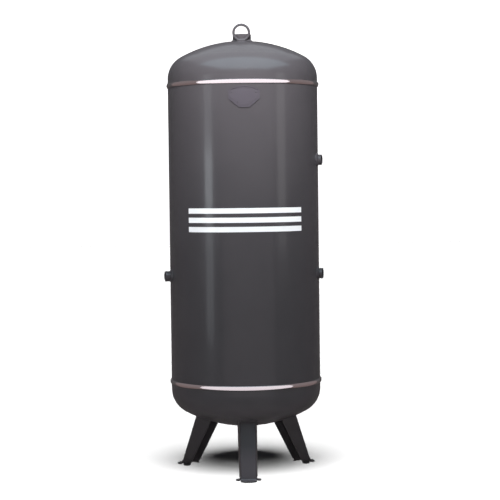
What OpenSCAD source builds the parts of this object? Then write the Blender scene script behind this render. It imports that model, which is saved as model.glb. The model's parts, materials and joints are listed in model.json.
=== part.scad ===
// Vertical air receiver: a welded steel pressure vessel on three pressed legs, with
// threaded sockets, a lifting ring, bright trim bands over the girth seams and a drain valve.
// Millimetres. The vessel's axis is Z, the floor is z = 0 and the front faces -Y.

/* [Vessel] */
// Outside diameter of the shell
shell_d = 500; // [490:2:510]
// Wall thickness of the rolled shell
shell_wall = 3; // [2.5:0.5:4]
// Wall thickness of the dished heads
head_wall = 3.5; // [3:0.5:4.5]
// Height of the lower girth seam above the floor
lower_seam_z = 302; // [295:1:315]
// Distance between the two girth seams
seam_pitch = 988; // [940:2:1100]
// Outside radius of the knuckle between a head's crown and its flange
knuckle_r = 82; // [74:1:88]
// Straight flange between the upper seam and the curve of the top head
upper_flange = 22.5; // [20:0.5:30]
// Straight flange between the lower seam and the curve of the bottom head
lower_flange = 27; // [20:0.5:30]

/* [Sockets] */
// Height of the left socket
left_socket_z = 657; // [500:1:760]
// Height of the lower right socket
right_lower_socket_z = 661; // [500:1:760]
// Height of the upper right socket
right_upper_socket_z = 1038; // [950:1:1150]
// Angle of the left socket from the front
left_socket_angle = 78; // [65:1:90]
// Angle of the right sockets from the front
right_socket_angle = 76; // [65:1:90]
// Outside radius of a side socket
side_socket_r = 17.25; // [16:0.25:18]
// How far the left socket stands out of the shell
left_socket_stand = 22; // [17:1:24]
// How far the right sockets stand out of the shell
right_socket_stand = 17; // [17:1:24]
// Outside radius of the top socket
top_socket_r = 30.5; // [28:0.5:32]
// How far the top socket stands above its head
top_socket_stand = 22.5; // [18:0.5:26]
// Outside radius of the drain socket
drain_socket_r = 15; // [14:0.5:17]
// How far the drain socket stands below its head
drain_socket_stand = 18; // [15:1:22]

/* [Lifting ring] */
// Outside radius of the ring
ring_r = 30; // [27:0.5:32]
// Radius of the ring's bar
ring_bar_r = 4.2; // [3:0.2:4.6]
// How far the ring sits to the left of the axis
ring_shift = 2.5; // [0:0.5:5]

/* [Trim bands] */
// Height of a band
trim_h = 16; // [14:1:20]
// How far a band stands out of the shell
trim_stand = 4.5; // [4:0.5:6]
// Wall thickness of a band
trim_wall = 1; // [0.8:0.1:1.2]

/* [Legs] */
// Radius of a leg's outer face at the floor
leg_foot_r = 245; // [240:1:248]
// Lean of a leg from the vertical, in degrees
leg_lean = 19.6; // [18:0.2:21]
// Thickness of a leg's sheet
leg_wall = 4; // [3:0.5:5]
// Half of the flat width of a leg's outer face
leg_flat_half = 20.3; // [19:0.1:21]
// Outside radius of a leg's bends
leg_bend_r = 7; // [6:0.5:8]
// Splay of a leg's side flanges, in degrees
leg_splay = 5; // [3:0.5:7]
// Depth of a side flange just above the foot
leg_depth_low = 34; // [30:1:38]
// Depth of a side flange where it meets the head
leg_depth_high = 65; // [60:1:70]
// Radius of the front tongue's end
tongue_end_r = 268.5; // [267:0.5:274]
// Radius of the bolt circle of the feet
bolt_circle_r = 258; // [257:0.5:259]
// Radius of a foot's bolt hole
bolt_hole_r = 5.5; // [4.5:0.5:5.5]

/* [Name plate] */
// Half of the width of the shield-shaped bracket
bracket_half_w = 50; // [46:1:54]
// Height of the bracket's lower edge
bracket_z = 1206; // [1190:1:1210]
// Height of the bracket itself
bracket_h = 69; // [64:1:72]

/* [Front stripes] */
// Number of stripes
stripe_count = 3; // [2:1:4]
// Height of one stripe
stripe_h = 17; // [10:1:20]
// Distance between stripe centres
stripe_pitch = 30; // [24:1:34]
// Height of the middle of the stripes
stripe_z = 845; // [760:5:900]
// Angle that a stripe covers
stripe_angle = 94; // [60:2:110]

/* [Drain valve] */
// Radius of the ball
ball_r = 9.5; // [9:0.1:9.8]
// Radius of the way through the ball
ball_bore_r = 5; // [4.5:0.1:5.2]
// Radius of the stem
stem_r = 3.5; // [3.3:0.1:3.6]
// Half of the handle's length
handle_half = 22; // [19:1:26]

/* [Hidden] */
$fn = 96;
// Facets of the large circles that thin pieces are trimmed with
fine = 480;

// Heights and radii that follow from the vessel's dimensions
shell_r = shell_d / 2;
shell_inner_r = shell_r - shell_wall;
head_depth = shell_r / 2;
upper_seam_z = lower_seam_z + seam_pitch;
lower_tangent_z = lower_seam_z - lower_flange;
upper_tangent_z = upper_seam_z + upper_flange;
bottom_z = lower_tangent_z - head_depth;
top_z = upper_tangent_z + head_depth;

// The lapped girth joint: the head's rim is drawn in and enters the shell
seam_gap = 3;
lap_length = 15;
lap_gap = 0.1;
lap_r = shell_inner_r - lap_gap;
joggle_length = 6;
weld_crown = 1;

// Radii across the crests of internal pipe threads: G 3/4, G 1 1/2 and G 1/2
g34_r = 12.06;
g112_r = 22.42;
g12_r = 9.32;
thread_slack = 0.02;
// A side socket's thread ends clear of the shell, in a slightly wider plain bore
side_thread_length = 15;
thread_relief = 0.6;
mouth_chamfer = 1.5;
socket_inside = 7;
socket_weld_leg = 6;
leg_weld_leg = 4;

// Angles in plan
front_angle = 270;
leg_step = 120;
seam_angle = 112;
joint_angle = 90;
joint_gap_angle = 0.5;
joiner_angle = 10;
joiner_wall = 0.8;

// Plates and films
bracket_t = 2;
bracket_rim = 3;
bracket_rim_t = 3.6;
nameplate_t = 0.8;
film_t = 0.25;

// Drain valve, measured from the ball's centre
valve_hex_top = 23;
valve_hex_af = 25;
valve_z = bottom_z - drain_socket_stand - valve_hex_top;
barrel_r = 14.5;
barrel_low = -20;
barrel_high = 14;
chamber_r = 10.3;
seat_end = 10.5;
boss_end = 21.5;
gland_hex_t = 4;
handle_y = 26.2;
handle_t = 5;
handle_nut_t = 4;
stem_flat = 5;
thread_r = 2.5;

// Colours
coat = [0.25, 0.25, 0.27];
bright = [0.85, 0.82, 0.82];
brass = [0.78, 0.64, 0.36];
white = [0.95, 0.95, 0.95];
steel = [0.7, 0.7, 0.72];
handle_red = [0.6, 0.08, 0.07];

// ---- Helpers ---------------------------------------------------------------

// The angle in plan of a direction that many degrees to the right of the front
function from_front(degrees) = front_angle + degrees;

// Points of an arc from one angle to another
function arc_points(centre, r, from, to, steps = 8) =
    [for (i = [0:steps]) centre + r * [cos(from + (to - from) * i / steps),
                                       sin(from + (to - from) * i / steps)]];

// Radius of the crown arc of a dished head that is "a" in radius at its rim
function crown_radius(a, depth, knuckle) =
    (a * a - 2 * a * knuckle + depth * depth) / (2 * (depth - knuckle));

// The upper right quarter of a dished head's outline: the crown's sector and the knuckle's.
// The line between the two arcs' centres, which both arcs meet squarely, parts the sectors.
module dished_quarter(a, depth, knuckle) {
    crown_r = crown_radius(a, depth, knuckle);
    crown_turn = asin((a - knuckle) / (crown_r - knuckle));
    above = depth + 1;
    parting = [[a - knuckle, 0], [(above + crown_r - depth) * tan(crown_turn), above]];
    intersection() {
        translate([0, depth - crown_r]) circle(r = crown_r);
        polygon(concat([[0, above], [0, 0]], parting));
    }
    intersection() {
        translate([a - knuckle, 0]) circle(r = knuckle);
        polygon(concat([[a + 1, above], [a + 1, 0]], parting));
    }
}

// The right half of an ellipse with its centre at the origin
module half_ellipse(a, b) {
    intersection() {
        scale([a / b, 1]) circle(r = b);
        translate([0, -b - 1]) square([a + 1, 2 * b + 2]);
    }
}

// The solid space inside a head's outer face, grown by "grow". Thin pieces are trimmed with
// it, so its circles are fine ones.
module upper_head_space(grow = 0) {
    translate([0, 0, upper_tangent_z]) rotate_extrude($fn = fine)
        dished_quarter(shell_r + grow, head_depth + grow, knuckle_r + grow, $fn = fine);
}

module lower_head_space(grow = 0) {
    translate([0, 0, lower_tangent_z]) mirror([0, 0, 1]) rotate_extrude($fn = fine)
        dished_quarter(shell_r + grow, head_depth + grow, knuckle_r + grow, $fn = fine);
}

// The solid space inside the shell's outer face, over a stretch of its height
module shell_space(low, high) {
    translate([0, 0, low]) cylinder(r = shell_r, h = high - low, $fn = fine);
}

// Places children on the shell, with their Z axis pointing out at an angle in plan
module on_shell(angle, z) {
    rotate([0, 0, angle]) translate([0, 0, z]) rotate([0, 90, 0]) children();
}

// A six-sided bar by its width across flats
module hex_bar(across_flats, h) {
    cylinder(r = across_flats / 2 / cos(30), h = h, $fn = 6);
}

// ---- Vessel ----------------------------------------------------------------

// A head with its curve up: dome, straight flange and the drawn-in rim that enters the shell
module head_blank(flange) {
    rim_z = seam_gap / 2 - flange;
    root = 0.6;
    rotate_extrude() difference() {
        dished_quarter(shell_r, head_depth, knuckle_r);
        dished_quarter(shell_r - head_wall, head_depth - head_wall, knuckle_r - head_wall);
    }
    rotate_extrude() polygon([
        [shell_r - head_wall, 0],
        [shell_r - head_wall + root, 2],
        [shell_r - root, 2],
        [shell_r, 0],
        [shell_r, rim_z],
        [lap_r, rim_z - seam_gap],
        [lap_r, rim_z - lap_length],
        [lap_r - head_wall, rim_z - lap_length],
        [lap_r - head_wall, rim_z],
        [shell_r - head_wall, rim_z + joggle_length]
    ]);
}

module shell() {
    color(coat) difference() {
        translate([0, 0, lower_seam_z + seam_gap / 2]) rotate_extrude()
            translate([shell_inner_r, 0]) square([shell_wall, seam_pitch - seam_gap]);
        side_socket_places() translate([0, 0, shell_r - 40]) cylinder(r = side_socket_r, h = 60);
    }
}

module top_head() {
    color(coat) difference() {
        translate([0, 0, upper_tangent_z]) head_blank(upper_flange);
        translate([0, 0, top_z - 40]) cylinder(r = top_socket_r, h = 60);
    }
}

module bottom_head() {
    color(coat) difference() {
        translate([0, 0, lower_tangent_z]) mirror([0, 0, 1]) head_blank(lower_flange);
        translate([0, 0, bottom_z - 20]) cylinder(r = drain_socket_r, h = 60);
    }
}

// A girth weld fills the groove over the lap and crowns a little under the trim band
module girth_weld() {
    crown_half = 0.6;
    rotate_extrude() polygon([
        [lap_r, -seam_gap / 2],
        [shell_r, seam_gap / 2],
        [shell_r + weld_crown, crown_half],
        [shell_r + weld_crown, -crown_half],
        [shell_r, -seam_gap / 2]
    ]);
}

module upper_girth_weld() {
    color(coat) translate([0, 0, upper_seam_z]) girth_weld();
}

module lower_girth_weld() {
    color(coat) translate([0, 0, lower_seam_z]) mirror([0, 0, 1]) girth_weld();
}

// The lengthwise weld of the rolled shell, from one trim band to the other
module shell_seam_weld() {
    half = 3.4;
    stand = 1.2;
    crown_r = (half * half + stand * stand) / (2 * stand);
    crown_turn = asin(half / crown_r);
    root_turn = asin(half / shell_r);
    color(coat) rotate([0, 0, seam_angle]) translate([0, 0, lower_seam_z + trim_h / 2 + 1])
        linear_extrude(seam_pitch - trim_h - 2) polygon(concat(
            arc_points([shell_r + stand - crown_r, 0], crown_r, -crown_turn, crown_turn),
            arc_points([0, 0], shell_r, root_turn, -root_turn, 4)
        ));
}

// ---- Sockets ---------------------------------------------------------------

module side_socket_places() {
    on_shell(from_front(-left_socket_angle), left_socket_z) children();
    on_shell(from_front(right_socket_angle), right_lower_socket_z) children();
    on_shell(from_front(right_socket_angle), right_upper_socket_z) children();
}

// A threaded socket along Z, open at both ends, with its mouth at the top
module socket_blank(outer, inner, low, high) {
    rotate_extrude() polygon([
        [inner, low],
        [outer, low],
        [outer, high - mouth_chamfer],
        [outer - mouth_chamfer, high],
        [inner + mouth_chamfer, high],
        [inner, high - mouth_chamfer]
    ]);
}

// A wider plain bore in a socket, up to where its thread ends
module relief_bore(inner, low, thread_end) {
    rotate_extrude() polygon([
        [0, low - 1],
        [inner + thread_relief, low - 1],
        [inner + thread_relief, thread_end - thread_relief],
        [inner, thread_end],
        [0, thread_end]
    ]);
}

// Outline of a hollow fillet beside a socket along Z, on a surface near z = 0
module fillet_outline(outer) {
    depth = 6;
    hollow_r = socket_weld_leg + 1.2;
    difference() {
        translate([outer, -depth]) square([socket_weld_leg, depth + socket_weld_leg]);
        translate([outer + hollow_r + 0.3, hollow_r - 0.7]) circle(r = hollow_r);
    }
}

// The fillet round a socket on a head's axis, with the head's apex at z = 0. It stands on the
// cone that touches the crown under the middle of the fillet.
module head_fillet_ring(outer) {
    middle = outer + socket_weld_leg / 2;
    crown_r = crown_radius(shell_r, head_depth, knuckle_r);
    rotate_extrude() difference() {
        fillet_outline(outer);
        translate([0, -crown_r]) rotate(-asin(middle / crown_r))
            translate([-middle, 0]) square([3 * middle, crown_r]);
    }
}

module side_socket(angle, z, stand) {
    inner_end = shell_inner_r - socket_inside;
    color(coat) on_shell(angle, z) difference() {
        socket_blank(side_socket_r, g34_r, inner_end, shell_r + stand);
        relief_bore(g34_r, inner_end, shell_r + stand - mouth_chamfer - side_thread_length);
    }
}

module side_socket_weld(angle, z) {
    reach = 60;
    color(coat) difference() {
        on_shell(angle, z) translate([0, 0, shell_r])
            rotate_extrude() fillet_outline(side_socket_r);
        shell_space(z - reach, z + reach);
    }
}

module left_socket() {
    side_socket(from_front(-left_socket_angle), left_socket_z, left_socket_stand);
}

module left_socket_weld() {
    side_socket_weld(from_front(-left_socket_angle), left_socket_z);
}

module right_lower_socket() {
    side_socket(from_front(right_socket_angle), right_lower_socket_z, right_socket_stand);
}

module right_lower_socket_weld() {
    side_socket_weld(from_front(right_socket_angle), right_lower_socket_z);
}

module right_upper_socket() {
    side_socket(from_front(right_socket_angle), right_upper_socket_z, right_socket_stand);
}

module right_upper_socket_weld() {
    side_socket_weld(from_front(right_socket_angle), right_upper_socket_z);
}

module top_socket() {
    color(coat) translate([0, 0, top_z])
        socket_blank(top_socket_r, g112_r, -head_wall - socket_inside, top_socket_stand);
}

module top_socket_weld() {
    color(coat) difference() {
        translate([0, 0, top_z]) head_fillet_ring(top_socket_r);
        lifting_ring_bar(0.2);
    }
}

module drain_socket() {
    color(coat) translate([0, 0, bottom_z]) mirror([0, 0, 1])
        socket_blank(drain_socket_r, g12_r, -head_wall - socket_inside, drain_socket_stand);
}

module drain_socket_weld() {
    color(coat) translate([0, 0, bottom_z]) mirror([0, 0, 1]) head_fillet_ring(drain_socket_r);
}

// ---- Lifting ring ----------------------------------------------------------

// The ring stands upright against the front of the top socket, a little sunk into its weld
ring_gap = 0.4;
ring_sink = 4;
ring_y = -(top_socket_r + ring_bar_r + ring_gap);
ring_z = top_z + ring_r - ring_sink;

module lifting_ring_bar(grow) {
    translate([-ring_shift, ring_y, ring_z]) rotate([90, 0, 0]) rotate_extrude()
        translate([ring_r - ring_bar_r, 0]) circle(r = ring_bar_r + grow);
}

module lifting_ring() {
    color(coat) difference() {
        lifting_ring_bar(0);
        upper_head_space();
    }
}

// A run of weld under the ring joins it to the socket and to the head
module lifting_ring_weld() {
    bead_r = 6.5;
    bead_half = 9;
    color(coat) difference() {
        translate([-ring_shift, ring_y - 1, top_z]) union() {
            rotate([0, 90, 0]) cylinder(r = bead_r, h = 2 * bead_half, center = true, $fn = fine);
            for (x = [-bead_half, bead_half])
                translate([x, 0, 0]) sphere(r = bead_r, $fn = 180);
        }
        lifting_ring_bar(0);
        upper_head_space();
        translate([0, 0, top_z - 10]) cylinder(r = top_socket_r + socket_weld_leg, h = 40);
    }
}

// ---- Legs ------------------------------------------------------------------

// One side of the channel's outline, a distance "inset" inside its outer face: the outer
// face lies on X = 0, the bend follows and the splayed flange runs back towards -X
flange_reach = 90;
bend_turn = 90 - leg_splay;

function channel_side(inset) = concat(
    arc_points([-leg_bend_r, leg_flat_half], leg_bend_r - inset, 0, bend_turn),
    [[-leg_bend_r, leg_flat_half]
        + (leg_bend_r - inset) * [cos(bend_turn), sin(bend_turn)]
        + flange_reach * [-cos(leg_splay), sin(leg_splay)]]
);

// The region that the channel encloses
module channel_region(inset) {
    side = channel_side(inset);
    last = len(side) - 1;
    polygon(concat(side, [for (i = [last:-1:0]) [side[i][0], -side[i][1]]]));
}

// Tilts children from upright to the leg's lean, about the outer face's foot
module leaning() {
    translate([leg_foot_r, 0, 0]) rotate([0, -leg_lean, 0]) children();
}

leg_length = 260;
leg_reach_z = 196;

// The tapering side view of the leg, in the plane of its lean
module leg_side_view() {
    taper_low = 5;
    polygon([
        [leg_bend_r, 0],
        [leg_bend_r, leg_length],
        [-leg_depth_high, leg_length],
        [-leg_depth_high, leg_reach_z],
        [-leg_depth_low, taper_low],
        [-leg_depth_low, 0]
    ]);
}

// A strip of sheet that comes down along a leaning line and turns out over the floor.
// Its outer face meets the floor at x = 0, it turns with an inside radius and ends at "reach".
module turned_strip(lean, bend, rise, reach) {
    centre = [-(leg_wall + bend) * tan(lean) + bend / cos(lean), leg_wall + bend];
    top = [-rise * tan(lean), rise];
    polygon(concat(
        [top],
        arc_points(centre, bend, 180 + lean, 270),
        [[reach, leg_wall], [reach, 0]],
        arc_points(centre, bend + leg_wall, 270, 180 + lean),
        [top - [leg_wall / cos(lean), 0]]
    ));
}

// The front tongue: as wide as the channel, with a rounded end and a bolt hole
tongue_half_w = 26;
tongue_round = 22;
foot_bend = 6;
foot_rise = 16;

module foot_tongue() {
    difference() {
        intersection() {
            translate([leg_foot_r, tongue_half_w, 0]) rotate([90, 0, 0])
                linear_extrude(2 * tongue_half_w)
                turned_strip(leg_lean, foot_bend, foot_rise, tongue_end_r - leg_foot_r + 5);
            translate([0, 0, -1]) linear_extrude(foot_rise + 2) union() {
                translate([tongue_end_r - tongue_round - 80, -tongue_half_w])
                    square([80, 2 * tongue_half_w]);
                translate([tongue_end_r - tongue_round, 0])
                    scale([tongue_round / tongue_half_w, 1]) circle(r = tongue_half_w);
            }
        }
        translate([bolt_circle_r, 0, -1]) cylinder(r = bolt_hole_r, h = leg_wall + 2);
    }
}

// A side ear of the foot, on the +Y side
ear_start_y = 27.6;
ear_out = 13.6;
ear_half = 13;
ear_bend = 4;
ear_x = 219;

module foot_ear() {
    intersection() {
        translate([ear_x - ear_half, ear_start_y, 0]) rotate([90, 0, 90])
            linear_extrude(2 * ear_half) turned_strip(0, ear_bend, 13, ear_out + 5);
        translate([0, 0, -1]) linear_extrude(20) union() {
            translate([ear_x - ear_half, 0])
                square([2 * ear_half, ear_start_y + ear_out - ear_half]);
            translate([ear_x, ear_start_y + ear_out - ear_half]) circle(r = ear_half);
        }
    }
}

// A leg that leans out along +X: channel, tongue and two ears from one sheet
module leg_blank() {
    channel_low = 9;
    difference() {
        union() {
            difference() {
                leaning() intersection() {
                    linear_extrude(leg_length) difference() {
                        channel_region(0);
                        channel_region(leg_wall);
                    }
                    translate([0, 60, 0]) rotate([90, 0, 0]) linear_extrude(120) leg_side_view();
                }
                translate([0, -60, channel_low - 100]) cube([400, 120, 100]);
            }
            foot_tongue();
            foot_ear();
            mirror([0, 1, 0]) foot_ear();
        }
        lower_head_space();
    }
}

// A weld bead along the outside of a leg where it meets the head
module leg_weld_blank() {
    difference() {
        intersection() {
            leaning() intersection() {
                linear_extrude(leg_length) difference() {
                    channel_region(-leg_weld_leg);
                    channel_region(0);
                }
                translate([0, 60, 0]) rotate([90, 0, 0]) linear_extrude(120) leg_side_view();
            }
            lower_head_space(leg_weld_leg);
        }
        lower_head_space();
    }
}

module front_leg() {
    color(coat) rotate([0, 0, front_angle]) leg_blank();
}

module right_leg() {
    color(coat) rotate([0, 0, front_angle + leg_step]) leg_blank();
}

module left_leg() {
    color(coat) rotate([0, 0, front_angle - leg_step]) leg_blank();
}

module front_leg_weld() {
    color(coat) rotate([0, 0, front_angle]) leg_weld_blank();
}

module right_leg_weld() {
    color(coat) rotate([0, 0, front_angle + leg_step]) leg_weld_blank();
}

module left_leg_weld() {
    color(coat) rotate([0, 0, front_angle - leg_step]) leg_weld_blank();
}

// ---- Trim bands ------------------------------------------------------------

// A bright hollow strip bent round the vessel over a girth seam, with a joint at the back
module trim_band(z) {
    color(bright) translate([0, 0, z])
        rotate_extrude(angle = 360 - joint_gap_angle, start = joint_angle + joint_gap_angle / 2)
        translate([shell_r, 0]) difference() {
            half_ellipse(trim_stand, trim_h / 2);
            half_ellipse(trim_stand - trim_wall, trim_h / 2 - trim_wall);
        }
}

// A short sleeve over the joint of a band
module trim_joiner(z) {
    slack = 0.05;
    inner_a = trim_stand + slack;
    inner_b = trim_h / 2 + slack;
    color(bright) translate([0, 0, z])
        rotate_extrude(angle = joiner_angle, start = joint_angle - joiner_angle / 2)
        translate([shell_r, 0]) difference() {
            half_ellipse(inner_a + joiner_wall, inner_b + joiner_wall);
            half_ellipse(inner_a, inner_b);
        }
}

module upper_trim_band() {
    trim_band(upper_seam_z);
}

module lower_trim_band() {
    trim_band(lower_seam_z);
}

module upper_trim_joiner() {
    trim_joiner(upper_seam_z);
}

module lower_trim_joiner() {
    trim_joiner(lower_seam_z);
}

// ---- Name plate and stripes ------------------------------------------------

// The shield outline, pulled in by "inset": a flat foot, slanted cheeks and an arched top
module shield_outline(inset) {
    half = bracket_half_w - inset;
    foot_half = 17 - inset * 0.4;
    cheek = 28 + inset * 0.4;
    crown_r = 100;
    intersection() {
        polygon([
            [-foot_half, inset],
            [foot_half, inset],
            [half, cheek],
            [half, bracket_h],
            [-half, bracket_h],
            [-half, cheek]
        ]);
        translate([0, bracket_h - crown_r]) circle(r = crown_r - inset);
    }
}

// The part of a tube round the vessel that lies behind the shield outline on the front
module shield_layer(inner, outer, inset) {
    intersection() {
        translate([0, 0, bracket_z]) rotate_extrude()
            translate([inner, -1]) square([outer - inner, bracket_h + 2]);
        translate([0, 0, bracket_z]) rotate([90, 0, 0])
            linear_extrude(shell_r + 20) shield_outline(inset);
    }
}

module nameplate_bracket() {
    color(coat) union() {
        shield_layer(shell_r, shell_r + bracket_t, 0);
        difference() {
            shield_layer(shell_r, shell_r + bracket_rim_t, 0);
            translate([0, 0, bracket_z]) rotate([90, 0, 0])
                linear_extrude(shell_r + 30) shield_outline(bracket_rim);
        }
    }
}

module nameplate() {
    plate_margin = 4;
    color(coat)
        shield_layer(shell_r + bracket_t, shell_r + bracket_t + nameplate_t, bracket_rim + plate_margin);
}

// Four small domed rivets hold the name plate to its bracket
module nameplate_rivets() {
    rivet_r = 2;
    rivet_dome_r = 2.6;
    base_r = shell_r + bracket_t + nameplate_t;
    color(coat) for (at = [[-38, 48], [38, 48], [-20, 18], [20, 18]])
        rotate([0, 0, asin(at[0] / base_r)]) translate([0, -base_r - 0.1, bracket_z + at[1]])
            intersection() {
                translate([0, rivet_dome_r - 1.2, 0]) sphere(r = rivet_dome_r);
                rotate([90, 0, 0]) cylinder(r = rivet_r + 0.5, h = 5);
            }
}

// Plain film stripes across the front of the shell
module front_stripes() {
    low = stripe_z - (stripe_count - 1) * stripe_pitch / 2 - stripe_h / 2;
    color(white) for (i = [0:stripe_count - 1])
        translate([0, 0, low + i * stripe_pitch])
            rotate_extrude(angle = stripe_angle, start = front_angle - stripe_angle / 2)
            translate([shell_r, 0]) square([film_t, stripe_h]);
}

// ---- Drain valve -----------------------------------------------------------

// Turns children's Z axis to the stem's direction, +Y
module along_stem() {
    rotate([-90, 0, 0]) children();
}

module valve_body() {
    boss_r = 8;
    packing_bore_r = 5.3;
    packing_y = 15.5;
    collar_bore_r = 5;
    collar_end = 12.5;
    spigot_end = 37;
    color(brass) translate([0, 0, valve_z]) difference() {
        union() {
            translate([0, 0, barrel_low]) cylinder(r = barrel_r, h = barrel_high - barrel_low);
            translate([0, 0, barrel_high - 1]) hex_bar(valve_hex_af, valve_hex_top - barrel_high + 1);
            cylinder(r = g12_r - thread_slack, h = spigot_end);
            along_stem() cylinder(r = boss_r, h = boss_end);
        }
        translate([0, 0, barrel_low - 1]) cylinder(r = chamber_r, h = seat_end - barrel_low + 1);
        cylinder(r = ball_bore_r, h = spigot_end + 1);
        along_stem() cylinder(r = collar_bore_r, h = collar_end);
        along_stem() cylinder(r = stem_r + 0.1, h = boss_end);
        along_stem() translate([0, 0, packing_y])
            cylinder(r = packing_bore_r, h = boss_end - packing_y + 1);
    }
}

module valve_end_cap() {
    cap_low = -34;
    outlet_depth = 11;
    color(brass) translate([0, 0, valve_z]) difference() {
        union() {
            translate([0, 0, cap_low]) hex_bar(valve_hex_af, barrel_low - cap_low);
            translate([0, 0, barrel_low - 1])
                cylinder(r = chamber_r - thread_slack, h = -seat_end - barrel_low + 1);
        }
        translate([0, 0, cap_low - 1]) cylinder(r = ball_bore_r, h = 40);
        translate([0, 0, cap_low - 1]) cylinder(r = g12_r, h = outlet_depth + 1);
    }
}

// Two plastic seats clasp the ball from above and below
module valve_seats() {
    seat_face = 6.3;
    seat_slack = 0.06;
    color(white) translate([0, 0, valve_z]) for (side = [0, 1])
        mirror([0, 0, side]) difference() {
            translate([0, 0, seat_face])
                cylinder(r = chamber_r - 0.05, h = seat_end - seat_face);
            translate([0, 0, seat_face - 1]) cylinder(r = ball_bore_r, h = 10);
            sphere(r = ball_r + seat_slack);
        }
}

module valve_packing() {
    packing_y = 15.5;
    color(white) translate([0, 0, valve_z]) along_stem() translate([0, 0, packing_y])
        difference() {
            cylinder(r = 5.25, h = 3.5);
            translate([0, 0, -1]) cylinder(r = stem_r + 0.05, h = 6);
        }
}

module valve_gland_nut() {
    gland_low = 19;
    gland_af = 16;
    color(brass) translate([0, 0, valve_z]) along_stem() difference() {
        union() {
            translate([0, 0, gland_low]) cylinder(r = 5.25, h = boss_end - gland_low + 1);
            translate([0, 0, boss_end]) hex_bar(gland_af, gland_hex_t);
        }
        translate([0, 0, gland_low - 1]) cylinder(r = stem_r + 0.1, h = 12);
    }
}

slot_w = 3.6;
slot_y = 6.5;

// The ball is shut at rest, with its way through lying along X
module valve_ball() {
    color(bright) translate([0, 0, valve_z]) difference() {
        sphere(r = ball_r);
        rotate([0, 90, 0]) cylinder(r = ball_bore_r, h = 3 * ball_r, center = true);
        translate([-slot_w / 2, slot_y, -ball_r]) cube([slot_w, 10, 2 * ball_r]);
    }
}

module valve_stem() {
    collar_low = 9.7;
    collar_t = 2.6;
    collar_r = 4.8;
    tang_half = 4;
    stem_end = handle_y + handle_t + handle_nut_t + 1;
    color(steel) translate([0, 0, valve_z]) {
        translate([-slot_w / 2 + 0.1, slot_y + 0.1, -tang_half])
            cube([slot_w - 0.2, collar_low - slot_y, 2 * tang_half]);
        along_stem() {
            translate([0, 0, collar_low]) cylinder(r = collar_r, h = collar_t);
            translate([0, 0, collar_low + 1]) cylinder(r = stem_r, h = handle_y - collar_low - 1);
            intersection() {
                cylinder(r = stem_r, h = handle_y + handle_t);
                translate([-stem_flat / 2, -stem_r, handle_y - 1])
                    cube([stem_flat, 2 * stem_r, handle_t + 1]);
            }
            translate([0, 0, handle_y]) cylinder(r = thread_r, h = stem_end - handle_y);
        }
    }
}

// A two-winged handle, level when the valve is shut
module valve_handle() {
    hub_r = 8;
    wing_r = 5.5;
    wing_t = 8;
    wing_x = handle_half - wing_r;
    color(handle_red) translate([0, 0, valve_z]) along_stem() translate([0, 0, handle_y])
        difference() {
            union() {
                cylinder(r = hub_r, h = handle_t);
                for (side = [-1, 1]) {
                    linear_extrude(handle_t) polygon([
                        [0, -hub_r * 0.6],
                        [side * wing_x, -wing_r],
                        [side * wing_x, wing_r],
                        [0, hub_r * 0.6]
                    ]);
                    translate([side * wing_x, 0, 0]) cylinder(r = wing_r, h = wing_t);
                }
            }
            translate([0, 0, -1]) intersection() {
                cylinder(r = stem_r + 0.05, h = handle_t + 2);
                translate([-stem_flat / 2 - 0.05, -10, 0]) cube([stem_flat + 0.1, 20, handle_t + 2]);
            }
        }
}

module valve_handle_nut() {
    nut_af = 8;
    color(steel) translate([0, 0, valve_z]) along_stem()
        translate([0, 0, handle_y + handle_t]) difference() {
            hex_bar(nut_af, handle_nut_t);
            translate([0, 0, -1]) cylinder(r = thread_r + 0.02, h = handle_nut_t + 2);
        }
}

// ---- Assembly --------------------------------------------------------------

shell();
top_head();
bottom_head();
upper_girth_weld();
lower_girth_weld();
shell_seam_weld();
top_socket();
top_socket_weld();
lifting_ring();
lifting_ring_weld();
left_socket();
left_socket_weld();
right_lower_socket();
right_lower_socket_weld();
right_upper_socket();
right_upper_socket_weld();
drain_socket();
drain_socket_weld();
front_leg();
right_leg();
left_leg();
front_leg_weld();
right_leg_weld();
left_leg_weld();
upper_trim_band();
lower_trim_band();
upper_trim_joiner();
lower_trim_joiner();
nameplate_bracket();
nameplate();
nameplate_rivets();
front_stripes();
valve_body();
valve_end_cap();
valve_seats();
valve_packing();
valve_gland_nut();
valve_ball();
valve_stem();
valve_handle();
valve_handle_nut();
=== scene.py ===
"""Looks, light and camera for a vertical air receiver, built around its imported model.

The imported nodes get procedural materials, and the legs, fittings and name plate get softened
edges. The top and side sockets and their weld beads are rebuilt here with more detail than
their plain CAD solids hold.
"""
import json
import math

import bpy
from mathutils import Matrix, Vector


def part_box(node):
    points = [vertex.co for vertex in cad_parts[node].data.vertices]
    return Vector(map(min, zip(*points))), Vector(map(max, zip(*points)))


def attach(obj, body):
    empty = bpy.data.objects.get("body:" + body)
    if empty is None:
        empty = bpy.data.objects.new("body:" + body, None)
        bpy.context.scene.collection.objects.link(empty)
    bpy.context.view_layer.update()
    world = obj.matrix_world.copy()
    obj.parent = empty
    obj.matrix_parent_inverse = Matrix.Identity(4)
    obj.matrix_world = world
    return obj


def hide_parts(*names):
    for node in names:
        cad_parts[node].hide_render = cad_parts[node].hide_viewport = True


MM = 0.001

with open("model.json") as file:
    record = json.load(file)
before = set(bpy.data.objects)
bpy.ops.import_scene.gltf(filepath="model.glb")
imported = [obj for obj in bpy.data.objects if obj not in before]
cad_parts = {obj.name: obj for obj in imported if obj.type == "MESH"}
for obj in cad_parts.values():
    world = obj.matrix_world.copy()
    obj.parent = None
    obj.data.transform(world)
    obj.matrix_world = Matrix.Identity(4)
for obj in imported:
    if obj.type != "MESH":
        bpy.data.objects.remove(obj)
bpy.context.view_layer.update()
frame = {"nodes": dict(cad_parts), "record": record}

TANK_BODY = "tank"
COAT_SLOT = "tank_coat"

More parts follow.
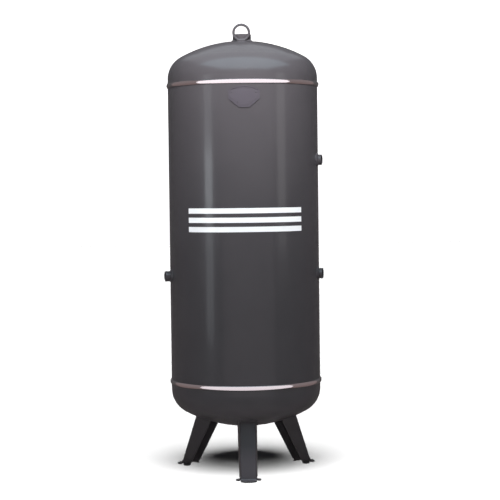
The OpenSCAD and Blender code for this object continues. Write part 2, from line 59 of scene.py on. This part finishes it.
# The vessel's main sizes. A head is half the shell's radius deep, and its knuckle has the radius
# that it has in CAD.
SHELL_LOW, SHELL_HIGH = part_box("shell")
SHELL_R = (SHELL_HIGH.x - SHELL_LOW.x) / 2
HEAD_DEPTH = SHELL_R / 2
KNUCKLE_R = 82 * MM
TOP_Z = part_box("top_head")[1].z


# ---- Camera ------------------------------------------------------------------

CAMERA_DISTANCE = 5.43
CAMERA_HEIGHT = 0.963
CAMERA_AZIMUTH = -1.1
CAMERA_PITCH = -2.365
CAMERA_YAW = -0.197
CAMERA_ROLL = -0.7
CAMERA_LENS = 116.4


def make_camera():
    """A long lens at chest height, a little to the left of the front."""
    data = bpy.data.cameras.new("camera")
    data.lens = CAMERA_LENS
    data.clip_end = 60
    camera = bpy.data.objects.new("camera", data)
    bpy.context.scene.collection.objects.link(camera)
    azimuth = math.radians(CAMERA_AZIMUTH)
    place = Vector((math.sin(azimuth), -math.cos(azimuth), 0)) * CAMERA_DISTANCE
    place.z = CAMERA_HEIGHT
    turn = (
        Matrix.Rotation(azimuth + math.radians(CAMERA_YAW), 4, "Z")
        @ Matrix.Rotation(math.radians(90 + CAMERA_PITCH), 4, "X")
        @ Matrix.Rotation(math.radians(CAMERA_ROLL), 4, "Z")
    )
    camera.matrix_world = Matrix.Translation(place) @ turn
    bpy.context.scene.camera = camera


# ---- Materials -----------------------------------------------------------------


class Nodes:
    """A short way to build a material's node tree."""

    def __init__(self, name):
        self.material = bpy.data.materials.new(name)
        self.material.use_nodes = True
        self.tree = self.material.node_tree
        self.shader = self.tree.nodes["Principled BSDF"]
        self.coordinates = self.tree.nodes.new("ShaderNodeTexCoord").outputs["Object"]

    def link(self, source, target):
        self.tree.links.new(source, target)

    def set(self, **values):
        """Sets numbers and colours on the shader's own sockets; a name's _ stands for a space."""
        for name, value in values.items():
            socket = self.shader.inputs[name.replace("_", " ")]
            socket.default_value = (*value, 1) if isinstance(value, tuple) else value

    def noise(self, scale, detail=2.0, roughness=0.5, stretch=(1, 1, 1)):
        """A noise pattern, with so many cells to the metre."""
        mapping = self.tree.nodes.new("ShaderNodeMapping")
        mapping.inputs["Scale"].default_value = stretch
        self.link(self.coordinates, mapping.inputs["Vector"])
        node = self.tree.nodes.new("ShaderNodeTexNoise")
        node.inputs["Scale"].default_value = scale
        node.inputs["Detail"].default_value = detail
        node.inputs["Roughness"].default_value = roughness
        self.link(mapping.outputs["Vector"], node.inputs["Vector"])
        return node.outputs["Fac"]

    def ramp(self, value, low, high, from_low=0.3, from_high=0.7):
        """A number mapped from one range to another."""
        node = self.tree.nodes.new("ShaderNodeMapRange")
        node.inputs["From Min"].default_value = from_low
        node.inputs["From Max"].default_value = from_high
        node.inputs["To Min"].default_value = low
        node.inputs["To Max"].default_value = high
        self.link(value, node.inputs["Value"])
        return node.outputs["Result"]

    def blend(self, factor, first, second):
        """A mix of two colours."""
        node = self.tree.nodes.new("ShaderNodeMix")
        node.data_type = "RGBA"
        self.link(factor, node.inputs["Factor"])
        for name, value in (("A", first), ("B", second)):
            socket = [s for s in node.inputs if s.name == name and s.type == "RGBA"][0]
            if isinstance(value, tuple):
                socket.default_value = (*value, 1)
            else:
                self.link(value, socket)
        return [s for s in node.outputs if s.type == "RGBA"][0]

    def bump(self, height, distance, strength=1.0, after=None):
        """Bumps the surface by a height pattern, on top of an earlier bump."""
        node = self.tree.nodes.new("ShaderNodeBump")
        node.inputs["Strength"].default_value = strength
        node.inputs["Distance"].default_value = distance
        self.link(height, node.inputs["Height"])
        if after is not None:
            self.link(after, node.inputs["Normal"])
        return node.outputs["Normal"]


COAT_DARK = (0.040, 0.036, 0.040)
COAT_LIGHT = (0.052, 0.047, 0.051)
PLATE_DARK = (0.046, 0.0405, 0.049)
PLATE_LIGHT = (0.058, 0.0505, 0.061)


def coat_material(name="anthracite_coat", dark=COAT_DARK, light=COAT_LIGHT):
    """Semi-gloss powder coat: near-black grey, with orange peel and faint cloudiness."""
    n = Nodes(name)
    cloud = n.noise(7, detail=3)
    n.link(n.blend(cloud, dark, light), n.shader.inputs["Base Color"])
    n.link(n.ramp(n.noise(60, detail=3), 0.30, 0.38), n.shader.inputs["Roughness"])
    wave = n.bump(n.noise(9, detail=1), 1.2 * MM, 0.25)
    peel = n.bump(n.noise(420, detail=1.5), 0.03 * MM, 0.6, after=wave)
    coat_peel = n.bump(n.noise(260, detail=1), 0.02 * MM, 0.5, after=wave)
    n.link(peel, n.shader.inputs["Normal"])
    n.link(coat_peel, n.shader.inputs["Coat Normal"])
    n.set(Coat_Weight=0.6, Coat_Roughness=0.12, Specular_IOR_Level=0.45)
    return n.material


def chrome_material():
    """Bright polished trim with faint lengthwise draw lines."""
    n = Nodes("bright_trim")
    draw = n.noise(40, detail=4, stretch=(1, 1, 40))
    n.link(n.blend(draw, (0.80, 0.77, 0.77), (0.90, 0.88, 0.88)), n.shader.inputs["Base Color"])
    n.link(n.ramp(n.noise(25, detail=4), 0.05, 0.12), n.shader.inputs["Roughness"])
    n.link(n.bump(draw, 0.01 * MM, 0.3), n.shader.inputs["Normal"])
    n.set(Metallic=1.0)
    return n.material


def vinyl_material():
    """White film with a soft gloss and a trace of the coat's texture."""
    n = Nodes("white_film")
    n.link(n.blend(n.noise(18, detail=3), (0.78, 0.78, 0.79), (0.84, 0.84, 0.84)),
           n.shader.inputs["Base Color"])
    n.link(n.ramp(n.noise(90), 0.28, 0.36), n.shader.inputs["Roughness"])
    n.link(n.bump(n.noise(260, detail=1), 0.02 * MM, 0.4), n.shader.inputs["Normal"])
    return n.material


def brass_material():
    """Turned and lightly tarnished brass."""
    n = Nodes("valve_brass")
    n.link(n.blend(n.noise(120, detail=5), (0.62, 0.44, 0.19), (0.80, 0.60, 0.30)),
           n.shader.inputs["Base Color"])
    n.link(n.ramp(n.noise(300, detail=3), 0.22, 0.42), n.shader.inputs["Roughness"])
    n.link(n.bump(n.noise(900, detail=2), 0.03 * MM, 0.5), n.shader.inputs["Normal"])
    n.set(Metallic=1.0)
    return n.material


def steel_material():
    """Turned steel."""
    n = Nodes("turned_steel")
    rings = n.noise(500, detail=3, stretch=(1, 6, 1))
    n.link(n.blend(rings, (0.46, 0.46, 0.47), (0.62, 0.62, 0.63)), n.shader.inputs["Base Color"])
    n.link(n.ramp(rings, 0.24, 0.40), n.shader.inputs["Roughness"])
    n.link(n.bump(rings, 0.02 * MM, 0.4), n.shader.inputs["Normal"])
    n.set(Metallic=1.0)
    return n.material


def ptfe_material():
    """Waxy white plastic."""
    n = Nodes("white_ptfe")
    n.link(n.blend(n.noise(150), (0.78, 0.78, 0.75), (0.86, 0.86, 0.84)),
           n.shader.inputs["Base Color"])
    n.link(n.ramp(n.noise(400), 0.45, 0.6), n.shader.inputs["Roughness"])
    n.set(Subsurface_Weight=0.1, Subsurface_Scale=0.002)
    return n.material


def enamel_material():
    """Red dipped enamel on the valve's handle."""
    n = Nodes("red_enamel")
    n.link(n.blend(n.noise(80, detail=3), (0.40, 0.018, 0.014), (0.50, 0.03, 0.022)),
           n.shader.inputs["Base Color"])
    n.link(n.ramp(n.noise(200), 0.25, 0.38), n.shader.inputs["Roughness"])
    n.link(n.bump(n.noise(500), 0.04 * MM, 0.4), n.shader.inputs["Normal"])
    n.set(Coat_Weight=0.3, Coat_Roughness=0.1)
    return n.material


def paint_frame():
    """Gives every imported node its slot's material, and the name plate and bracket a paler coat."""
    coat = coat_material()
    by_slot = {
        COAT_SLOT: coat,
        "trim_chrome": chrome_material(),
        "stripe_film": vinyl_material(),
        "valve_brass": brass_material(),
        "valve_plastic": ptfe_material(),
        "stem_steel": steel_material(),
        "handle_paint": enamel_material(),
    }
    by_slot["ball_chrome"] = by_slot["trim_chrome"]
    for entry in frame["record"]["subparts"]:
        mesh = frame["nodes"][entry["node"]].data
        mesh.materials.clear()
        mesh.materials.append(by_slot[entry["material_slot"]])
    plate_coat = coat_material("plate_coat", dark=PLATE_DARK, light=PLATE_LIGHT)
    for node in ("nameplate", "nameplate_bracket"):
        frame["nodes"][node].data.materials[0] = plate_coat
    return coat


# ---- Meshes --------------------------------------------------------------------


def make_piece(name, vertices, faces, material, body=TANK_BODY):
    """A smooth-shaded mesh piece that rides on a body."""
    mesh = bpy.data.meshes.new(name)
    mesh.from_pydata(vertices, [], faces)
    mesh.update()
    for polygon in mesh.polygons:
        polygon.use_smooth = True
    mesh.materials.append(material)
    piece = bpy.data.objects.new(name, mesh)
    bpy.context.scene.collection.objects.link(piece)
    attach(piece, body)
    return piece


def ring_faces(rows, columns):
    """Quads between rows of points, where each row and the stack of rows are closed loops."""
    faces = []
    for i in range(rows):
        k = (i + 1) % rows
        for j in range(columns):
            m = (j + 1) % columns
            faces.append((i * columns + j, i * columns + m, k * columns + m, k * columns + j))
    return faces


# ---- Threaded sockets ------------------------------------------------------------


def socket_places():
    """The top and side sockets, each with its port mount and its G thread's pitch."""
    mounts = {m["name"]: m for m in frame["record"]["mounts"]}
    return [
        ("top_socket", mounts["top_port"], 2.309 * MM),
        ("left_socket", mounts["left_port"], 1.814 * MM),
        ("right_lower_socket", mounts["right_lower_port"], 1.814 * MM),
        ("right_upper_socket", mounts["right_upper_port"], 1.814 * MM),
    ]


SOCKET_OUTER = {"top_socket": 30.5 * MM, "side": 17.25 * MM}
SOCKET_INSIDE = 10 * MM
SOCKET_SIDES = 96
MOUTH_CHAMFER = 1.5 * MM
EDGE_R = 0.5 * MM
NICK = 0.1 * MM
THREAD_DEPTH = 0.64
THREAD_STEPS = 8
THREAD_START = 0.3
RELIEF = 0.6 * MM


def socket_outer(node):
    """A socket's outside radius."""
    return SOCKET_OUTER.get(node, SOCKET_OUTER["side"])


def thread_depth(turns):
    """The rounded groove of a pipe thread, 0 at its crest and 1 at its root."""
    t = turns % 1.0
    return 0.5 - 0.5 * math.cos(2 * math.pi * t)


def threaded_socket(node, mount, pitch, coat):
    """Rebuilds a socket with a real helical thread in its bore.

    Its profile is a closed loop of (distance along the bore, radius, share of the groove):
    up the outside, over the rounded mouth, down the thread and back along the relief.
    """
    axis = Vector(mount["axis"]).normalized()
    place = Vector(mount["pos_m"])
    crest = mount["dims"]["r_mm"] * MM
    threaded = mount["dims"]["length_mm"] * MM
    length = threaded if node == "top_socket" else place.xy.length - SHELL_R + SOCKET_INSIDE
    outer = socket_outer(node)
    side = axis.orthogonal().normalized()
    up = axis.cross(side)

    profile = [
        (-length, outer - EDGE_R, 0),
        (-length + EDGE_R, outer, 0),
        (-EDGE_R, outer, 0),
        (3 * NICK, outer - NICK, 0),
        (MOUTH_CHAMFER - NICK, outer - MOUTH_CHAMFER + 2 * NICK, 0),
        (MOUTH_CHAMFER, outer - MOUTH_CHAMFER - 3 * NICK, 0),
        (MOUTH_CHAMFER, crest + MOUTH_CHAMFER + 2 * NICK, 0),
    ]
    steps = int(threaded / pitch * THREAD_STEPS)
    for i in range(steps + 1):
        z = -threaded * i / steps
        ease = min(1.0, -z / pitch + THREAD_START, (threaded + z) / pitch)
        profile.append((z, crest, ease))
    if length > threaded:
        profile += [(-threaded - RELIEF, crest + RELIEF, 0), (-length, crest + RELIEF, 0)]

    points = []
    for z, radius, ease in profile:
        for j in range(SOCKET_SIDES):
            turn = j / SOCKET_SIDES
            angle = 2 * math.pi * turn
            r = radius + ease * THREAD_DEPTH * pitch * thread_depth(z / pitch - turn)
            points.append(place + axis * z + (side * math.cos(angle) + up * math.sin(angle)) * r)
    piece = make_piece(node + "_threaded", points, ring_faces(len(profile), SOCKET_SIDES), coat)
    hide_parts(node)


def make_sockets(coat):
    for node, mount, pitch in socket_places():
        threaded_socket(node, mount, pitch, coat)


# ---- Weld beads ----------------------------------------------------------------

WELD_LEG = 5.5 * MM
RIPPLE_PITCH = 2.6 * MM
RIPPLE = 0.22 * MM
STEPS_A_RIPPLE = 6
BEAD_SWELL = 0.5 * MM
BEAD_SINK = 0.8 * MM
BEAD_ACROSS = 9


def head_height(radius):
    """Height of a dished head's outer face above its tangent line, at a radius."""
    flat = SHELL_R - KNUCKLE_R
    crown_r = (flat ** 2 - KNUCKLE_R ** 2 + HEAD_DEPTH ** 2) / (2 * (HEAD_DEPTH - KNUCKLE_R))
    if radius <= crown_r * flat / (crown_r - KNUCKLE_R):
        return HEAD_DEPTH - crown_r + math.sqrt(crown_r ** 2 - radius ** 2)
    return math.sqrt(max(0.0, KNUCKLE_R ** 2 - (radius - flat) ** 2))


# Height where the top head's curve starts: its apex is cut away by the socket's hole, so it
# is found from the hole's edge
TOP_HOLE_R = (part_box("top_socket")[1].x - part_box("top_socket")[0].x) / 2
TOP_TANGENT_Z = TOP_Z - head_height(TOP_HOLE_R)


def on_top_head(place, axis, offset):
    """The point of the top head's outer face under offset."""
    radius = math.hypot(offset.x, offset.y)
    return Vector((offset.x, offset.y, TOP_TANGENT_Z + head_height(radius)))


def on_shell(place, axis, offset):
    """The point of the shell's outer face under place + offset, along axis."""
    start = place + offset
    flat = Vector((start.x, start.y, 0))
    along = Vector((axis.x, axis.y, 0)).normalized()
    b = flat.dot(along)
    c = flat.length_squared - SHELL_R ** 2
    step = -b + math.sqrt(b * b - c)
    return start + along * step


def bead_mesh(name, path, node, coat):
    """A rippled bead along a closed path of (toe on the surface, root, toe on the wall, out)."""
    points, travelled, last = [], 0.0, None
    for surface_toe, root, wall_toe, out in path:
        if last is not None:
            travelled += (root - last).length
        last = root
        crescent = abs(math.sin(math.pi * travelled / RIPPLE_PITCH))
        for k in range(BEAD_ACROSS):
            t = k / (BEAD_ACROSS - 1)
            swell = math.sin(math.pi * t) * (BEAD_SWELL + RIPPLE * crescent)
            points.append(surface_toe.lerp(wall_toe, t) + out * swell)
        points.append(root)
    piece = make_piece(name, points, ring_faces(len(path), BEAD_ACROSS + 1), coat)
    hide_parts(node)


def socket_weld(node, mount, outer, surface, coat):
    """A fillet round a socket, where it meets the surface that surface() gives."""
    place = Vector(mount["pos_m"])
    axis = Vector(mount["axis"]).normalized()
    side = axis.orthogonal().normalized()
    up = axis.cross(side)
    steps = int(2 * math.pi * outer / RIPPLE_PITCH) * STEPS_A_RIPPLE
    path = []
    for i in range(steps):
        angle = 2 * math.pi * i / steps
        out = side * math.cos(angle) + up * math.sin(angle)
        root = surface(place, axis, out * outer)
        toe = surface(place, axis, out * (outer + WELD_LEG))
        wall = root + axis * WELD_LEG
        path.append((toe, root - axis * BEAD_SINK, wall, (out + axis).normalized()))
    bead_mesh(node + "_bead", path, node, coat)


def make_socket_welds(coat):
    for node, mount, _ in socket_places():
        surface = on_top_head if node == "top_socket" else on_shell
        socket_weld(node + "_weld", mount, socket_outer(node), surface, coat)


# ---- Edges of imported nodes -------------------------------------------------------


LEG_EDGE = 0.5 * MM
FITTING_EDGE = 0.3 * MM
LEGS = ("front_leg", "right_leg", "left_leg")
FITTINGS = ("valve_body", "valve_end_cap", "valve_gland_nut", "valve_handle",
            "valve_handle_nut", "nameplate", "nameplate_bracket")


def soften(node, width):
    """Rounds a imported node's sharp edges with a modifier, which leaves its mesh as it is."""
    piece = frame["nodes"][node]
    bevel = piece.modifiers.new("soft_edges", "BEVEL")
    bevel.width = width
    bevel.segments = 2
    bevel.limit_method = "ANGLE"
    bevel.angle_limit = math.radians(35)
    bevel.harden_normals = False


# ---- Studio ----------------------------------------------------------------------

FLOOR_SIZE = 40.0
FLOOR_COLOR = (0.12, 0.12, 0.12)
DOME_R = 24.0


def stage_material(name, color, emission=0.0):
    """A flat colour without gloss, which may shine by itself."""
    n = Nodes(name)
    n.set(Base_Color=color, Roughness=0.9, Specular_IOR_Level=0.0)
    if emission:
        n.set(Emission_Color=color, Emission_Strength=emission)
    return n.material


def make_stage():
    """A grey floor that its own light turns white, and a white dome that only the camera sees."""
    bpy.ops.mesh.primitive_plane_add(size=FLOOR_SIZE)
    floor = bpy.context.object
    floor.name = "floor"
    floor.data.materials.append(stage_material("pale_floor", FLOOR_COLOR))
    floor.visible_glossy = False
    bpy.ops.mesh.primitive_uv_sphere_add(radius=DOME_R, segments=48, ring_count=24)
    dome = bpy.context.object
    dome.name = "backdrop"
    dome.data.materials.append(stage_material("pale_backdrop", (1.0, 1.0, 1.0), 1.0))
    for ray in ("visible_diffuse", "visible_glossy", "visible_transmission", "visible_shadow"):
        setattr(dome, ray, False)
    return floor


def add_light(name, kind, place, target, energy, color=(1, 1, 1)):
    """A light at a place, aimed at a target, that the camera doesn't see."""
    data = bpy.data.lights.new(name, kind)
    data.energy = energy
    data.color = color
    light = bpy.data.objects.new(name, data)
    bpy.context.scene.collection.objects.link(light)
    light.location = place
    light.rotation_euler = (Vector(target) - Vector(place)).to_track_quat("-Z", "Y").to_euler()
    light.visible_camera = False
    return light


def panel(name, place, target, size, radiance, color=(1, 1, 1)):
    """A rectangular light panel of a given brightness."""
    light = add_light(name, "AREA", place, target, radiance * math.pi * size[0] * size[1], color)
    light.data.shape = "RECTANGLE"
    light.data.size, light.data.size_y = size
    return light


def at(azimuth, distance, height):
    """A place so many degrees to the right of the front, as seen from the camera."""
    a = math.radians(azimuth)
    return (math.sin(a) * distance, -math.cos(a) * distance, height)


def light_group(name, pieces, state):
    """A collection that includes pieces in, or excludes them from, what a light acts on."""
    group = bpy.data.collections.new(name)
    for piece in pieces:
        group.objects.link(piece)
    for entry in group.collection_objects:
        entry.light_linking.link_state = state
    return group


BLUISH = (0.88, 0.95, 1.0)
SKY = (0.69, 0.90, 1.0)
ROSY = (1.0, 0.92, 0.97)
BROWNISH = (1.0, 0.68, 0.67)
MIDDLE = (0, 0, 0.95)
SIDE_DISTANCE = 2.4
# Brightness of the panel that each trim band mirrors
BAND_RADIANCE = {"upper_trim_band": 1.12, "lower_trim_band": 0.8}


def make_lights(floor):
    """Ceiling panels, a key and fills for the tank, and lights for the front leg, bands and floor."""
    nodes = frame["nodes"]
    bands = [nodes[name] for name in BAND_RADIANCE]
    front_leg, *back_legs = [nodes[name] for name in LEGS]
    not_back_legs = light_group("not_back_legs", [floor] + bands + back_legs, "EXCLUDE")
    not_legs = light_group("not_legs", [floor, front_leg] + bands + back_legs, "EXCLUDE")

    key = add_light("key", "SPOT", (0, -2.2, 2.6), (0, 0, 1.62), 860)
    key.data.spot_size = math.radians(40)
    key.data.spot_blend = 1.0
    key.data.shadow_soft_size = 0.3
    key.visible_glossy = False
    ceiling = panel("ceiling", (0.3, -2.2, 3.4), (0.3, -2.2, 0), (5.4, 3.8), 1.75, SKY)
    leg_light = panel("leg_light", (0, -0.85, 3.4), (0, -0.25, 0), (0.5, 0.5), 150, ROSY)
    leg_light.visible_glossy = False
    for light, receivers in (
        (key, not_back_legs),
        (ceiling, not_back_legs),
        (panel("back_ceiling", (0, 1.4, 3.4), (0, 1.4, 0), (4.0, 3.4), 0.45, BLUISH), not_legs),
        (panel("left_strip", at(-53, SIDE_DISTANCE, 0.96), MIDDLE, (0.5, 0.34), 2.7, BLUISH), not_legs),
        (panel("left_glow", at(-53, SIDE_DISTANCE, 0.92), MIDDLE, (0.5, 1.35), 1.0, BLUISH), not_legs),
        (panel("right_strip", at(56, SIDE_DISTANCE, 1.18), MIDDLE, (0.55, 1.0), 0.9), not_legs),
        (panel("front_panel", at(5, 3.0, 0.9), MIDDLE, (4.6, 2.2), 0.24, ROSY), not_legs),
        (leg_light, light_group("front_leg_only", [front_leg], "INCLUDE")),
    ):
        light.light_linking.receiver_collection = receivers

    for band, radiance in zip(bands, BAND_RADIANCE.values()):
        front = panel(band.name + "_front", (0, -1.6, 0.95), MIDDLE, (10.0, 6.0), radiance, ROSY)
        front.light_linking.receiver_collection = light_group(front.name, [band], "INCLUDE")
    band_ends = light_group("band_ends", bands, "INCLUDE")
    for azimuth in (-101, 101):
        side = panel("band_side", at(azimuth, SIDE_DISTANCE, 0.95), MIDDLE, (2.7, 5.0), 0.12, BROWNISH)
        side.light_linking.receiver_collection = band_ends

    floor_light = add_light("floor_light", "SUN", (0, -2.5, 3), (0, 0, 0), 37.5)
    floor_light.data.angle = math.radians(46)
    floor_light.light_linking.receiver_collection = light_group("floor_only", [floor], "INCLUDE")
    floor_light.light_linking.blocker_collection = light_group(
        "floor_shade", [nodes["bottom_head"]], "INCLUDE")


# The world's colours, from straight down at 0 to straight up at 1
WORLD_STOPS = [
    (0.0, (0.02, 0.02, 0.02)),
    (0.42, (0.085, 0.074, 0.074)),
    (0.55, (0.10, 0.096, 0.10)),
    (1.0, (0.12, 0.12, 0.13)),
]


def make_world():
    """A dim studio: bluish above, near black below."""
    world = bpy.data.worlds.new("studio")
    world.use_nodes = True
    bpy.context.scene.world = world
    tree = world.node_tree
    background = tree.nodes["Background"]
    coordinates = tree.nodes.new("ShaderNodeTexCoord")
    split = tree.nodes.new("ShaderNodeSeparateXYZ")
    ramp = tree.nodes.new("ShaderNodeValToRGB")
    for i, (position, color) in enumerate(WORLD_STOPS):
        stop = ramp.color_ramp.elements[i] if i < 2 else ramp.color_ramp.elements.new(position)
        stop.position = position
        stop.color = (*color, 1)
    scale = tree.nodes.new("ShaderNodeMapRange")
    scale.inputs["From Min"].default_value = -1
    tree.links.new(coordinates.outputs["Generated"], split.inputs["Vector"])
    tree.links.new(split.outputs["Z"], scale.inputs["Value"])
    tree.links.new(scale.outputs["Result"], ramp.inputs["Fac"])
    tree.links.new(ramp.outputs["Color"], background.inputs["Color"])


def main():
    make_camera()
    coat = paint_frame()
    make_sockets(coat)
    make_socket_welds(coat)
    for node in LEGS:
        soften(node, LEG_EDGE)
    for node in FITTINGS:
        soften(node, FITTING_EDGE)
    make_lights(make_stage())
    make_world()
    bpy.context.scene.view_settings.view_transform = "Standard"


main()
